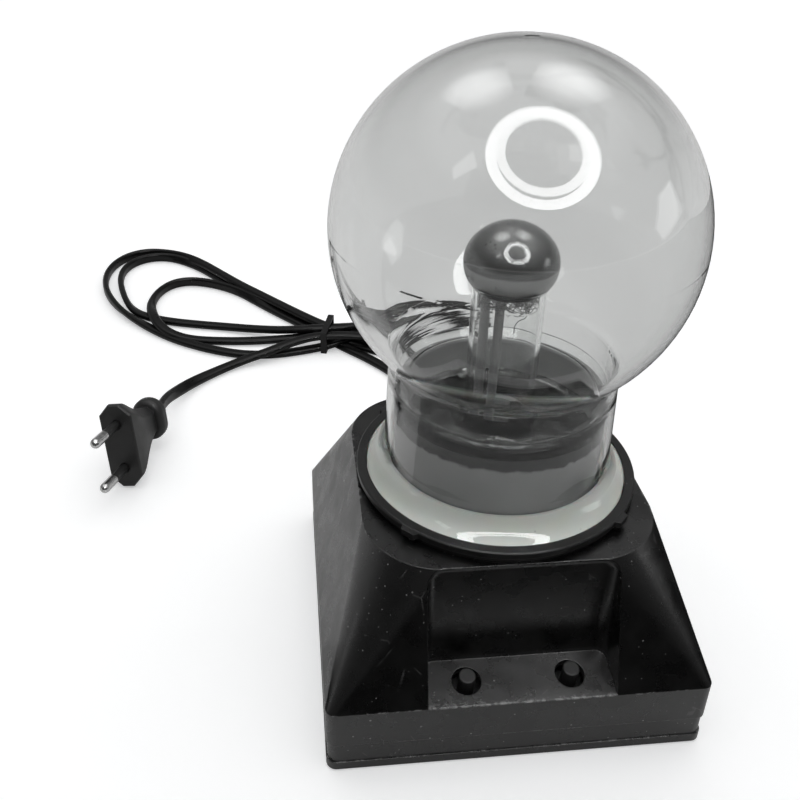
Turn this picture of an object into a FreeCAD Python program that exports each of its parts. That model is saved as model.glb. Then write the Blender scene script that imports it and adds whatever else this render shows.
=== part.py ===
import FreeCAD, Part
import math
import os
import re

import Sketcher

# Plasma ball: a gas-filled glass globe on a square tapered base, with a mains lead and plug.
# Frame: origin at the centre of the base on the table, +Z up, the finger recess faces -Y.

DIMENSIONS = {
    # Base
    "base_side": 110.0,
    "base_corner": 3.0,
    "wall": 2.2,
    "plate_z": 0.6,
    "band_z": 3.4,
    "housing_z": 10.5,
    "shoulder_z": 23.0,
    "plateau_z": 61.6,
    "plateau_side": 84.4,
    "plateau_corner": 22.0,
    "parting_inset": 0.35,
    "lip_wall": 1.8,
    "lip_height": 2.5,
    "fit_gap": 0.1,
    # Finger recess and its sloping ledge
    "recess_wide": 53.4,
    "recess_back_y": -41.0,
    "recess_top_z": 62.4,
    "recess_top_corner": 5.0,
    "recess_back_corner": 3.0,
    "ledge_tilt": 10.0,
    # Push buttons, measured along the ledge's own normal
    "button_x": 14.9,
    "button_y": -47.6,
    "button_hole_r": 4.2,
    "plunger_r": 2.4,
    "plunger_out": 2.9,
    "plunger_foot_r": 3.5,
    "foot_top": -9.0,
    "foot_thick": 1.0,
    "switch_top": -7.0,
    "switch_side": 10.0,
    "switch_cavity_r": 4.0,
    "switch_board_top": -16.0,
    "spring_r": 2.9,
    "spring_wire_r": 0.3,
    "spring_turns": 4.0,
    # Corner screws, feet
    "screw_xy": 48.8,
    "boss_r": 4.2,
    "screw_r": 1.45,
    "screw_top_z": 16.0,
    "screw_head_r": 2.9,
    "screw_head_thick": 1.2,
    "foot_xy": 38.0,
    "foot_r": 5.0,
    "foot_tall": 1.6,
    "vent_span": 36.0,
    # Globe
    "globe_z": 141.5,
    "globe_r": 50.0,
    "globe_wall": 1.4,
    "neck_wall": 1.5,
    "neck_foot_r": 33.7,
    "neck_foot_z": 73.5,
    "neck_top_r": 32.9,
    "neck_fillet": 5.0,
    "flare_r": 9.0,
    "flare_angle": 65.0,
    # Inner stem: ball, tube, trumpet foot and closing bowl
    "ball_z": 131.5,
    "ball_side_r": 10.0,
    "ball_side_x": 3.2,
    "ball_crown_drop": 2.4,
    "ball_crown_r": 14.0,
    "stem_wall": 1.1,
    "tube_r": 10.3,
    "trumpet_z": 84.0,
    "trumpet_r": 4.5,
    "bowl_r": 28.8,
    "bowl_corner": 5.0,
    "bowl_rim_z": 91.6,
    "bowl_rim_r": 31.45,
    "bowl_rim_top_z": 94.6,
    "tip_x": -20.0,
    "tip_y": -10.0,
    "tip_r": 1.7,
    "tip_low_z": 69.0,
    "tip_hole_r": 2.6,
    # Electrode inside the stem ball
    "coating_thick": 0.3,
    "coating_gap": 0.05,
    "coating_low_z": 122.0,
    "wool_r": 8.7,
    "wool_low_z": 120.4,
    "wool_top_z": 126.4,
    "lead_r": 1.35,
    "lead_bend_z": 122.0,
    # Black cup in the throat
    "cup_r": 31.0,
    "cup_wall": 2.0,
    "cup_rim_z": 91.0,
    "cup_floor_z": 74.0,
    "cup_flange_r": 35.5,
    "cup_flange_top_z": 59.3,
    "spigot_r": 8.5,
    "spigot_step_r": 7.2,
    "spigot_top_z": 83.0,
    "spigot_step_z": 81.4,
    "spigot_bore_r": 4.4,
    # White gasket and black retaining collar
    "gasket_in_r": 31.6,
    "gasket_out_r": 38.9,
    "gasket_top_z": 70.2,
    "collar_in_r": 39.2,
    "collar_out_r": 42.1,
    "collar_groove_r": 41.0,
    "collar_groove_z": 63.5,
    "collar_top_z": 65.5,
    "collar_lug_r": 43.5,
    "collar_lug_wide": 4.2,
    "collar_lug_foot": 6.8,
    "collar_screw_at": 40.9,
    "collar_screw_r": 0.9,
    # Driver board and what stands on it
    "board_wide": 74.0,
    "board_deep": 54.0,
    "board_y": 10.0,
    "board_z": 12.0,
    "board_thick": 1.6,
    "board_hole_x": 33.0,
    "board_hole_dy": 23.0,
    "post_r": 3.0,
    # Lead entry
    "entry_z": 16.5,
    "cord_r": 2.7,
    "relief_long": 24.0,
    "clamp_y": 42.0,
    "clamp_z": 14.0,
    "clamp_tall": 7.0,
    "clamp_screw_x": 8.5,
    # Plug
    "plug_wide": 35.3,
    "plug_thick": 13.7,
    "plug_long": 38.0,
    "pin_spacing": 18.6,
    "pin_r": 2.0,
    "pin_long": 19.0,
    "sleeve_r": 1.8,
    "sleeve_core_r": 1.5,
    "sleeve_long": 10.0,
}

doc = FreeCAD.newDocument("PlasmaBall")
sheet = doc.addObject("Spreadsheet::Sheet", "Dims")
for row, (alias, size) in enumerate(DIMENSIONS.items(), 1):
    sheet.set("A%d" % row, alias)
    sheet.set("B%d" % row, str(size))
    sheet.setAlias("B%d" % row, alias)
doc.recompute()

WORD = re.compile(r"[a-z][a-z0-9_]*")
subparts = []
serial = iter(range(1, 10000))


# ---------------------------------------------------------------- helpers

def formula(text):
    """Spell a formula of dimension names as an expression on the sheet."""
    return WORD.sub(lambda m: "Dims." + m[0] if m[0] in DIMENSIONS else m[0], str(text))


def number(text):
    """The present value of a formula of dimension names."""
    return float(sheet.evalExpression(formula(text).replace("Dims.", "")))


def bind(thing, **formulas):
    """Bind properties of an object to formulas; a double underscore stands for a dot."""
    for name, text in formulas.items():
        thing.setExpression(name.replace("__", "."), formula(text))
    return thing


def place(thing, x=0, y=0, z=0):
    """Bind an object's position to formulas."""
    return bind(thing, Placement__Base__x=x, Placement__Base__y=y, Placement__Base__z=z)


def new(kind, name="step"):
    return doc.addObject(kind, "%s_%d" % (name, next(serial)))


def keep(thing, label):
    """Name a finished sub-part; its label names its file."""
    thing.Label = label
    subparts.append(thing)
    return thing


def box(wide, deep, tall, x=0, y=0, z=0):
    """Box centred on x and y, standing on z."""
    block = bind(new("Part::Box"), Length=wide, Width=deep, Height=tall)
    return place(block, "(%s) - (%s)/2" % (x, wide), "(%s) - (%s)/2" % (y, deep), z)


def cylinder(radius, tall, x=0, y=0, z=0):
    return place(bind(new("Part::Cylinder"), Radius=radius, Height=tall), x, y, z)


def cone(low_radius, high_radius, tall, x=0, y=0, z=0):
    taper = bind(new("Part::Cone"), Radius1=low_radius, Radius2=high_radius, Height=tall)
    return place(taper, x, y, z)


def fuse(*shapes):
    joined = new("Part::MultiFuse")
    joined.Shapes = list(shapes)
    return joined


def cut(base, *tools):
    rest = new("Part::Cut")
    rest.Base = base
    rest.Tool = tools[0] if len(tools) == 1 else fuse(*tools)
    return rest


def common(first, second):
    shared = new("Part::MultiCommon")
    shared.Shapes = [first, second]
    return shared


def group(*solids):
    bundle = new("Part::Compound")
    bundle.Links = list(solids)
    return bundle


def turn_about(thing, axis, degrees):
    """Rotate an object in place about an axis through its own origin."""
    thing.Placement = FreeCAD.Placement(
        thing.Placement.Base, FreeCAD.Rotation(FreeCAD.Vector(*axis), degrees))
    return thing


def fillet(base, radius, chosen):
    """Round the edges of base that chosen(edge) picks."""
    doc.recompute()
    rounded = new("Part::Fillet")
    rounded.Base = base
    size = number(radius)
    edges = enumerate(base.Shape.Edges, 1)
    rounded.Edges = [(index, size, size) for index, edge in edges if chosen(edge)]
    return rounded


def along(direction, edge):
    """Whether a straight edge runs along a direction."""
    first, last = edge.Vertexes[0].Point, edge.Vertexes[-1].Point
    run = last - first
    return run.Length > 1e-6 and abs(abs(run.normalize().dot(FreeCAD.Vector(*direction))) - 1) < 1e-6


def sketch_in(body, plane, offset="0"):
    """A sketch on one of a body's origin planes, moved along its normal by a formula."""
    drawing = body.newObject("Sketcher::SketchObject", "sketch_%d" % next(serial))
    origin = next(f for f in body.Origin.OriginFeatures if f.Role == plane)
    drawing.AttachmentSupport = [(origin, "")]
    drawing.MapMode = "FlatFace"
    bind(drawing, AttachmentOffset__Base__z=offset)
    return drawing


def pin_point(drawing, edge, end, x, y):
    """Bind one end of a sketch edge to a pair of formulas."""
    for axis_constraint, text, own_axis in (("DistanceX", x, -2), ("DistanceY", y, -1)):
        if abs(number(text)) < 1e-9:
            drawing.addConstraint(Sketcher.Constraint("PointOnObject", edge, end, own_axis))
            continue
        rule = Sketcher.Constraint(axis_constraint, -1, 1, edge, end, number(text))
        index = drawing.addConstraint(rule)
        drawing.setExpression("Constraints[%d]" % index, formula(text))


def outline(drawing, steps):
    """Draw a closed outline through steps and bind it to the sheet.

    A step (x, y) starts a straight line. A step (x, y, radius, side) starts an arc, and side is
    1 where it bulges to the left of its chord and -1 where it bulges to the right.
    """
    count = len(steps)
    ends = []
    for index, step in enumerate(steps):
        start = FreeCAD.Vector(number(step[0]), number(step[1]), 0)
        after = steps[(index + 1) % count]
        stop = FreeCAD.Vector(number(after[0]), number(after[1]), 0)
        if len(step) == 2:
            ends.append((drawing.addGeometry(Part.LineSegment(start, stop)), 1, 2))
            continue
        radius, side = number(step[2]), step[3]
        chord = stop - start
        sagitta = radius - math.sqrt(max(radius ** 2 - (chord.Length / 2) ** 2, 0))
        left = FreeCAD.Vector(-chord.y, chord.x, 0).normalize()
        middle = (start + stop) * 0.5 + left * (side * sagitta)
        edge = drawing.addGeometry(Part.Arc(start, middle, stop))
        ends.append((edge, 2, 1) if side == 1 else (edge, 1, 2))
        rule = drawing.addConstraint(Sketcher.Constraint("Radius", edge, radius))
        drawing.setExpression("Constraints[%d]" % rule, formula(step[2]))
    for index, step in enumerate(steps):
        edge, first, _ = ends[index]
        before, _, last = ends[index - 1]
        drawing.addConstraint(Sketcher.Constraint("Coincident", before, last, edge, first))
        pin_point(drawing, edge, first, step[0], step[1])
    return drawing


def rounded_rectangle(drawing, wide, deep, radius):
    """Rounded rectangle centred on a sketch's origin."""
    x, y = "(%s)/2" % wide, "(%s)/2" % deep
    x_in, y_in = "(%s) - (%s)" % (x, radius), "(%s) - (%s)" % (y, radius)
    minus = "-(%s)"
    return outline(drawing, [
        (x_in, y), (minus % x_in, y, radius, -1),
        (minus % x, y_in), (minus % x, minus % y_in, radius, -1),
        (minus % x_in, minus % y), (x_in, minus % y, radius, -1),
        (x, minus % y_in), (x, y_in, radius, -1)])


def turned(label, steps):
    """Body of revolution about its own vertical axis, from an outline of (radius, height)."""
    body = doc.addObject("PartDesign::Body", label)
    profile = outline(sketch_in(body, "XZ_Plane"), steps)
    spun = body.newObject("PartDesign::Revolution", label + "_spun")
    spun.Profile = profile
    spun.ReferenceAxis = (profile, ["V_Axis"])
    spun.Angle = 360.0
    return body


def padded(body, drawing, tall):
    """Pad a sketch upwards by a formula."""
    pad = body.newObject("PartDesign::Pad", "pad_%d" % next(serial))
    pad.Profile = drawing
    return bind(pad, Length=tall)


def pocketed(body, drawing, deep, upwards=False):
    """Pocket a sketch by a formula, downwards unless told otherwise."""
    pocket = body.newObject("PartDesign::Pocket", "pocket_%d" % next(serial))
    pocket.Profile = drawing
    pocket.Reversed = upwards
    return bind(pocket, Length=deep)


def slab(side, corner, low, tall):
    """Square slab with rounded corners, centred on the Z axis."""
    body = new("PartDesign::Body", "slab")
    padded(body, rounded_rectangle(sketch_in(body, "XY_Plane", low), side, side, corner), tall)
    return body


def frustum(low_side, low_corner, low_z, high_side, high_corner, high_z):
    """Loft between two rounded squares."""
    body = new("PartDesign::Body", "frustum")
    low = rounded_rectangle(sketch_in(body, "XY_Plane", low_z), low_side, low_side, low_corner)
    high = rounded_rectangle(sketch_in(body, "XY_Plane", high_z), high_side, high_side, high_corner)
    loft = body.newObject("PartDesign::AdditiveLoft", "loft_%d" % next(serial))
    loft.Profile = low
    loft.Sections = [(high, [""])]
    loft.Ruled = True
    return body


def at_corners(make, reach):
    """Four copies of a piece at the corners of a square."""
    signs = ((1, 1), (-1, 1), (-1, -1), (1, -1))
    return [make("%d*(%s)" % (sx, reach), "%d*(%s)" % (sy, reach)) for sx, sy in signs]


def rounded_path(points):
    """Straight runs joined by tangent arcs, as one wire, and the arcs' radii."""
    knots = [FreeCAD.Vector(*p) for p in points]
    edges, radii, here = [], [], knots[0]
    for before, corner, after in zip(knots, knots[1:], knots[2:]):
        back, ahead = (before - corner), (after - corner)
        shorter = min(back.Length, ahead.Length)
        half_turn = (math.pi - back.getAngle(ahead)) / 2
        radius = 0.45 * shorter / math.tan(half_turn)
        back.normalize()
        ahead.normalize()
        start, stop = corner + back * (0.45 * shorter), corner + ahead * (0.45 * shorter)
        inward = (back + ahead).normalize()
        middle = corner + inward * (radius / math.cos(half_turn) - radius)
        edges.append(Part.LineSegment(here, start).toShape())
        edges.append(Part.Arc(start, middle, stop).toShape())
        radii.append(radius)
        here = stop
    edges.append(Part.LineSegment(here, knots[-1]).toShape())
    return Part.Wire(edges), radii


def round_tube(label, points, radius):
    """Solid round tube along a route, reported with its radii, length and volume."""
    path, radii = rounded_path(points)
    first, second = FreeCAD.Vector(*points[0]), FreeCAD.Vector(*points[1])
    ring = Part.Wire(Part.Circle(first, second - first, radius).toShape())
    tube = doc.addObject("Part::Feature", label)
    tube.Shape = path.makePipeShell([ring], True, False)
    ideal = math.pi * radius ** 2 * path.Length
    print("%s: length %.1f, radii %s, volume %.0f of %.0f" % (
        label, path.Length, [round(r, 1) for r in radii], tube.Shape.Volume, ideal))
    return tube


# ---------------------------------------------------------------- ledge frame

def ledge_height(y):
    """Formula for the height of the ledge's surface at a formula for y."""
    return "shoulder_z + (base_side/2 + (%s))*tan(ledge_tilt)" % y


def on_ledge(thing, x="0", s="0"):
    """Put a piece at x on the ledge, s above its surface along the ledge's normal."""
    thing.Placement = FreeCAD.Placement(
        FreeCAD.Vector(), FreeCAD.Rotation(FreeCAD.Vector(1, 0, 0), number("ledge_tilt")))
    height = ledge_height("button_y")
    return place(thing, x, "button_y - (%s)*sin(ledge_tilt)" % s,
                 "%s + (%s)*cos(ledge_tilt)" % (height, s))


# ---------------------------------------------------------------- housing

def recess_block(grow, tilt_drop):
    """The space of the finger recess, with its floor along the ledge, grown by a wall."""
    body = new("PartDesign::Body", "recess")
    back = "recess_back_y + (%s)" % grow
    front = "-base_side/2 - 10"
    profile = outline(sketch_in(body, "YZ_Plane"), [
        (front, ledge_height(front) + " - (%s)" % tilt_drop),
        (back, ledge_height(back) + " - (%s)" % tilt_drop),
        (back, "recess_top_z + (%s)" % grow),
        (front, "recess_top_z + (%s)" % grow)])
    pad = padded(body, profile, "recess_wide + 2*(%s)" % grow)
    pad.SideType = "Symmetric"
    return body


def make_upper_housing():
    outer = fuse(
        slab("base_side", "base_corner", "housing_z", "shoulder_z - housing_z"),
        frustum("base_side", "base_corner", "shoulder_z",
                "plateau_side", "plateau_corner", "plateau_z"))
    inner = fuse(
        slab("base_side - 2*wall", "1.2", "housing_z - 1", "shoulder_z - housing_z + 1"),
        frustum("base_side - 2*wall", "1.2", "shoulder_z",
                "plateau_side - 1.4*wall", "plateau_corner - wall", "plateau_z - wall"))
    recess = recess_block("0", "0")
    recess = fillet(recess, "recess_top_corner", lambda e: along((0, 1, 0), e)
                    and e.CenterOfMass.z > number("recess_top_z") - 1)
    recess = fillet(recess, "recess_back_corner", lambda e: along((0, 0, 1), e)
                    and e.CenterOfMass.y > number("recess_back_y") - 1)
    recess_shell = common(recess_block("wall", "wall"), outer)
    posts = at_corners(lambda x, y: cylinder("boss_r", "screw_top_z + 1.5 - housing_z",
                                             x, y, "housing_z"), "screw_xy")
    switch_post = on_ledge(cylinder("3", "-switch_board_top - 1"), s="switch_board_top")
    shell = fuse(cut(outer, inner), recess_shell, common(fuse(*posts), outer), switch_post)
    holes = [
        recess,
        cylinder("cup_r + 0.3", "10", z="plateau_z - 5"),
        place(turn_about(cylinder("4.3", "8"), (1, 0, 0), 90), "0", "base_side/2 + 2", "entry_z"),
    ]
    holes += at_corners(lambda x, y: cylinder("screw_r + 0.05", "screw_top_z - housing_z + 0.3",
                                              x, y, "housing_z"), "screw_xy")
    holes += at_corners(lambda x, y: cylinder("collar_screw_r + 0.2", "6",
                                              x, y, "plateau_z - 5"), "collar_screw_at*cos(45)")
    for side in (-1, 1):
        holes.append(on_ledge(cylinder("button_hole_r", "8"), "%d*button_x" % side, "-5"))
    keep(cut(shell, *holes), "upper_housing")


def make_base_band():
    band = slab("base_side - 2*parting_inset", "base_corner", "band_z",
                "housing_z - band_z")
    lip = slab("base_side - 2*wall - 2*fit_gap", "1.2", "housing_z - 1", "lip_height + 1")
    hollow = slab("base_side - 2*wall - 2*fit_gap - 2*lip_wall", "1.2", "band_z - 1", "20")
    bosses = at_corners(lambda x, y: cylinder("boss_r", "housing_z - band_z", x, y, "band_z"),
                        "screw_xy")
    boss_room = at_corners(lambda x, y: cylinder("boss_r + 0.2", "6", x, y, "housing_z"),
                           "screw_xy")
    holes = at_corners(lambda x, y: cylinder("screw_r + 0.3", "20", x, y, "0"), "screw_xy")
    ring = cut(fuse(band, lip), hollow, *boss_room)
    entry_slot = box("9", "6", "8", "0", "base_side/2 - wall - 2", "housing_z")
    keep(cut(fuse(ring, *bosses), entry_slot, *holes), "base_band")


def make_bottom_plate():
    body = doc.addObject("PartDesign::Body", "bottom_plate_body")
    top = rounded_rectangle(sketch_in(body, "XY_Plane", "plate_z"),
                            "base_side", "base_side", "base_corner")
    padded(body, top, "band_z - plate_z")
    vent_sketch = sketch_in(body, "XY_Plane", "band_z")
    bind(vent_sketch, AttachmentOffset__Base__x="-vent_span/2")
    slot = pocketed(body, rounded_rectangle(vent_sketch, "3", "40", "1.49"), "4")
    doc.recompute()
    vents = body.newObject("PartDesign::LinearPattern", "vents")
    vents.Originals = [slot]
    vents.Direction = (vent_sketch, ["H_Axis"])
    bind(vents, Length="vent_span")
    vents.Occurrences = 5
    body.Tip = vents
    posts = []
    cores = []
    for sx in (-1, 1):
        for sy in (-1, 1):
            x, y = "%d*board_hole_x" % sx, "board_y + %d*board_hole_dy" % sy
            posts.append(cylinder("post_r", "board_z - band_z + 0.5", x, y, "band_z - 0.5"))
            cores.append(cylinder("1.05", "8", x, y, "board_z - 7"))
    posts.append(box("10", "4", "entry_z - cord_r - 0.05 - band_z + 0.5", "0", "clamp_y",
                     "band_z - 0.5"))
    for side in (-1, 1):
        posts.append(cylinder("2.6", "clamp_z - band_z + 0.5", "%d*clamp_screw_x" % side,
                              "clamp_y", "band_z - 0.5"))
        cores.append(cylinder("1.05", "6", "%d*clamp_screw_x" % side, "clamp_y",
                              "clamp_z - 5.9"))
    screw_holes = at_corners(lambda x, y: cylinder("screw_r + 0.3", "9", x, y, "-1"), "screw_xy")
    sinks = at_corners(lambda x, y: cylinder("screw_head_r + 0.4", "screw_head_thick + 0.3",
                                             x, y, "plate_z - 0.01"), "screw_xy")
    foot_seats = at_corners(lambda x, y: cylinder("foot_r + 0.1", "foot_tall - plate_z", x, y,
                                                  "plate_z"), "foot_xy")
    keep(cut(fuse(body, *posts), *cores, *screw_holes, *sinks, *foot_seats), "bottom_plate")


def make_feet_and_screws():
    feet = at_corners(lambda x, y: cylinder("foot_r", "foot_tall", x, y, "0"), "foot_xy")
    keep(group(*feet), "rubber_feet")

    def base_screw(x, y):
        low = "plate_z + 0.1"
        head = cylinder("screw_head_r", "screw_head_thick", x, y, low)
        shank = cylinder("screw_r", "screw_top_z - (%s)" % low, x, y, low)
        cross = [box(*size, x, y, "%s - 0.4" % low) for size in (("0.7", "3.2", "0.9"),
                                                                ("3.2", "0.7", "0.9"))]
        return cut(fuse(head, shank), *cross)

    keep(group(*at_corners(base_screw, "screw_xy")), "base_screws")

    def collar_screw(x, y):
        head = cylinder("1.8", "1.1", x, y, "plateau_z - wall - 1.15")
        shank = cylinder("collar_screw_r", "5.5", x, y, "plateau_z - wall - 1.15")
        return fuse(head, shank)

    keep(group(*at_corners(collar_screw, "collar_screw_at*cos(45)")), "collar_screws")


# ---------------------------------------------------------------- buttons and switches

def coil(radius, tall, wire_r):
    """Round wire wound upwards in tilted half circles that meet with level tangents."""
    halves = 2 * int(number("spring_turns"))
    arcs = []
    for i in range(halves):
        side = 1 if i % 2 == 0 else -1
        start = FreeCAD.Vector(side * radius, 0, i * tall / halves)
        end = FreeCAD.Vector(-side * radius, 0, (i + 1) * tall / halves)
        reach = FreeCAD.Vector(0, side * (end - start).Length / 2, 0)
        arcs.append(Part.Arc(start, (start + end) / 2 + reach, end).toShape())
    ring = Part.Circle(FreeCAD.Vector(radius, 0, 0), FreeCAD.Vector(0, 1, 0), wire_r)
    return Part.Wire(arcs).makePipeShell([Part.Wire(ring.toShape())], True, False)


def make_buttons():
    cavity_deep = "-(switch_board_top) + switch_top - 1.5"
    for side, name in ((-1, "power"), (1, "sound")):
        x = "%d*button_x" % side
        foot_low = "foot_top - foot_thick"
        plunger = turned(name + "_plunger_body", [
            ("0", "plunger_out"), ("plunger_r - 0.4", "plunger_out", "0.4", 1),
            ("plunger_r", "plunger_out - 0.4"), ("plunger_r", "foot_top"),
            ("plunger_foot_r", "foot_top"), ("plunger_foot_r", foot_low),
            ("1.6", foot_low), ("1.6", foot_low + " - 1.5"), ("0", foot_low + " - 1.5")])
        keep(on_ledge(plunger, x), name + "_plunger")
        case = cut(
            box("switch_side", "switch_side", "switch_top - switch_board_top",
                z="switch_board_top + 0.02"),
            cylinder("plunger_r + 0.1", "9", z="switch_top - 5"),
            cylinder("switch_cavity_r", cavity_deep, z="switch_board_top"))
        keep(on_ledge(case, x), name + "_switch")
        low = number("switch_board_top") + number("spring_wire_r") + 0.05
        high = number(foot_low) - number("spring_wire_r") - 0.05
        spring = doc.addObject("Part::Feature", name + "_spring_coil")
        spring.Shape = coil(number("spring_r"), high - low, number("spring_wire_r"))
        keep(on_ledge(spring, x, str(low)), name + "_spring")
    board = cut(box("46", "11", "1.5", z="switch_board_top - 1.5"),
                cylinder("1.3", "4", z="switch_board_top - 3"))
    keep(on_ledge(board), "switch_board")


# ---------------------------------------------------------------- glass

def flare_x(radius):
    return "neck_foot_r + flare_r - (%s)*cos(flare_angle)" % radius


def flare_y(radius):
    return "neck_foot_z - (%s)*sin(flare_angle)" % radius


def make_globe():
    wall = "neck_wall"
    fillet_x = "neck_top_r + neck_fillet"
    reach = "(globe_r + neck_fillet)"
    fillet_z = "globe_z - sqrt(%s^2 - (%s)^2)" % (reach, fillet_x)
    touch_x = "(%s)*globe_r/%s" % (fillet_x, reach)
    touch_z = "globe_z + ((%s) - globe_z)*globe_r/%s" % (fillet_z, reach)
    in_r = "(globe_r - globe_wall)"
    inner_fillet = "(neck_fillet + neck_wall)"
    inner_reach = "(globe_r - globe_wall + neck_fillet + neck_wall)"
    in_fillet_z = "globe_z - sqrt(%s^2 - (%s)^2)" % (inner_reach, fillet_x)
    in_touch_x = "(%s)*%s/%s" % (fillet_x, in_r, inner_reach)
    in_touch_z = "globe_z + ((%s) - globe_z)*%s/%s" % (in_fillet_z, in_r, inner_reach)
    inner_flare = "(flare_r + neck_wall)"
    globe = turned("glass_globe_body", [
        ("0", "globe_z + globe_r", "globe_r", 1),
        ("globe_r", "globe_z", "globe_r", 1),
        (touch_x, touch_z, "neck_fillet", -1),
        ("neck_top_r", fillet_z),
        ("neck_foot_r", "neck_foot_z", "flare_r", -1),
        (flare_x("flare_r"), flare_y("flare_r")),
        (flare_x(inner_flare), flare_y(inner_flare), inner_flare, 1),
        ("neck_foot_r - " + wall, "neck_foot_z"),
        ("neck_top_r - " + wall, in_fillet_z, inner_fillet, 1),
        (in_touch_x, in_touch_z, in_r, -1),
        ("%s" % in_r, "globe_z", in_r, -1),
        ("0", "globe_z + %s" % in_r)])
    keep(globe, "glass_globe")


def ball_outline(inset, upward=False):
    """Flattened ball in two tangent arcs, set in from its outer face, down to the tube or back."""
    crown = "(ball_crown_r - %s)" % inset
    side = "(ball_side_r - %s)" % inset
    tube = "(tube_r - %s)" % inset
    gap = "(ball_crown_r - ball_side_r)"
    top = ("0", "ball_z - ball_crown_drop + " + crown)
    meet = ("ball_side_x + %s*ball_side_x/%s" % (side, gap),
            "ball_z + %s*ball_crown_drop/%s" % (side, gap))
    foot = (tube, "ball_z - sqrt(%s^2 - (%s - ball_side_x)^2)" % (side, tube))
    if upward:
        return [foot + (side, -1), meet + (crown, -1), top]
    return [top + (crown, 1), meet + (side, 1), foot]


def make_stem():
    wall = "stem_wall"
    in_tube = "(tube_r - stem_wall)"
    floor_top = "trumpet_z - trumpet_r"
    floor_low = "trumpet_z - trumpet_r - stem_wall"
    in_corner = "(bowl_corner - stem_wall)"
    stem = turned("stem_glass_body", ball_outline("0") + [
        ("tube_r", "trumpet_z", "trumpet_r", -1),
        ("tube_r + trumpet_r", floor_top),
        ("bowl_r - bowl_corner", floor_top, in_corner, -1),
        ("bowl_r - " + wall, "%s + %s" % (floor_top, in_corner)),
        ("bowl_r - " + wall, "bowl_rim_z + 0.6"),
        ("bowl_rim_r - 0.4", "bowl_rim_top_z"),
        ("bowl_rim_r", "bowl_rim_top_z - 0.6"),
        ("bowl_r", "bowl_rim_z"),
        ("bowl_r", "%s + bowl_corner" % floor_low, "bowl_corner", 1),
        ("bowl_r - bowl_corner", floor_low),
        ("tube_r + trumpet_r", floor_low, "trumpet_r + stem_wall", 1),
        (in_tube, "trumpet_z")] + ball_outline(wall, upward=True))
    keep(stem, "stem_glass")
    tip = turned("exhaust_tip_body", [
        ("0", floor_low + " - 0.05"), ("tip_r", floor_low + " - 0.05"),
        ("tip_r", "tip_low_z + 3"), ("0.5", "tip_low_z"), ("0", "tip_low_z")])
    keep(place(tip, "tip_x", "tip_y"), "exhaust_tip")


# ---------------------------------------------------------------- electrode

def make_electrode():
    outer = "(stem_wall + coating_gap)"
    inner = "(stem_wall + coating_gap + coating_thick)"
    coating = turned("electrode_coating_body", ball_outline(outer) + [
        ("tube_r - " + outer, "coating_low_z"),
        ("tube_r - " + inner, "coating_low_z")] + ball_outline(inner, upward=True))
    keep(coating, "electrode_coating")
    wool = turned("steel_wool_body", [
        ("0", "wool_top_z"), ("wool_r", "wool_top_z"), ("wool_r - 0.4", "wool_low_z"),
        ("0", "wool_low_z")])
    keep(wool, "steel_wool")
    bend_z = number("lead_bend_z")
    long_leg = [(3.2, 15.0, 37.4), (3.2, 15.0, 48.0), (1.8, 9.5, 57.0), (-1.2, 2.5, 65.0),
                (-2.6, 0.0, 76.0), (-2.5, 0.0, 92.0), (-2.1, 0.0, 108.0)]
    bend = [(-2.0, 0.0, bend_z), (-6.2, 0.0, bend_z)]
    short_leg = [(-6.3, 0.0, 106.0), (-6.6, 0.0, 87.0)]
    keep(round_tube("hv_lead_wire", long_leg + bend + short_leg, number("lead_r")), "hv_lead")


# ---------------------------------------------------------------- throat

def make_cup():
    rim = "cup_wall/2"
    floor_low = "cup_floor_z - 2"
    cup = turned("neck_cup_body", [
        ("cup_r - " + rim, "cup_rim_z", rim, 1),
        ("cup_r", "cup_rim_z - " + rim),
        ("cup_r", "cup_flange_top_z"),
        ("cup_flange_r", "cup_flange_top_z"),
        ("cup_flange_r", "cup_flange_top_z - 1.9"),
        ("cup_r - cup_wall", "cup_flange_top_z - 1.9"),
        ("cup_r - cup_wall", floor_low),
        ("spigot_bore_r", floor_low),
        ("spigot_bore_r", "spigot_top_z"),
        ("spigot_step_r - 0.4", "spigot_top_z", "0.4", 1),
        ("spigot_step_r", "spigot_top_z - 0.4"),
        ("spigot_step_r", "spigot_step_z"),
        ("spigot_r", "spigot_step_z"),
        ("spigot_r", "cup_floor_z"),
        ("cup_r - cup_wall", "cup_floor_z"),
        ("cup_r - cup_wall", "cup_rim_z - " + rim, rim, 1)])
    tip_hole = cylinder("tip_hole_r", "6", "tip_x", "tip_y", "cup_floor_z - 4")
    stud = box("3.4", "2.6", "3.4", "19.5", "-9", "cup_floor_z - 0.5")
    keep(cut(fuse(cup, stud), tip_hole), "neck_cup")


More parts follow.
